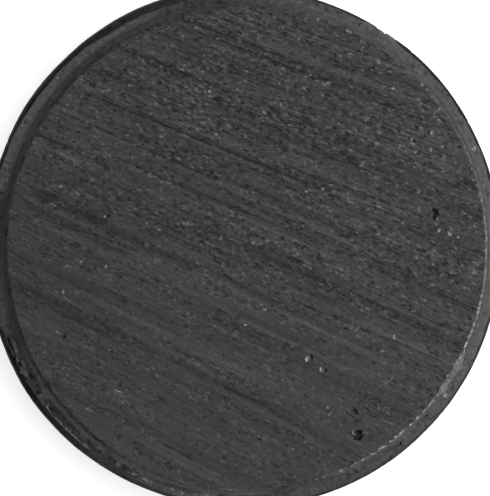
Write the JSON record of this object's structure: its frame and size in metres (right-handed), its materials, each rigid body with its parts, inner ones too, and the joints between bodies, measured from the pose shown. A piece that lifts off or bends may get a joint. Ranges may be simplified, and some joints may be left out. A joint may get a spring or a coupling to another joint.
{
  "type": "disc magnet",
  "caption": "Small flat ferrite disc magnet: a dark grey ceramic disc with ground pole faces and stepped, lightly chipped rims.",
  "frame": {"origin": "centre of the lower pole face, which is the face that the magnet rests on", "axes": "+Z along the magnet's axis, out of the upper pole face; +X and +Y across the disc, with the ground scratches running from -X +Y down to +X -Y"},
  "size_m": [0.02, 0.02, 0.003],
  "materials": {
    "ferrite": "dark grey sintered ferrite: pole faces ground with parallel scratches, rims and wall as pressed and sintered, small pits and chips"
  },
  "bodies": {
    "root": {"magnet_disc": "ferrite"}
  },
  "joints": []
}
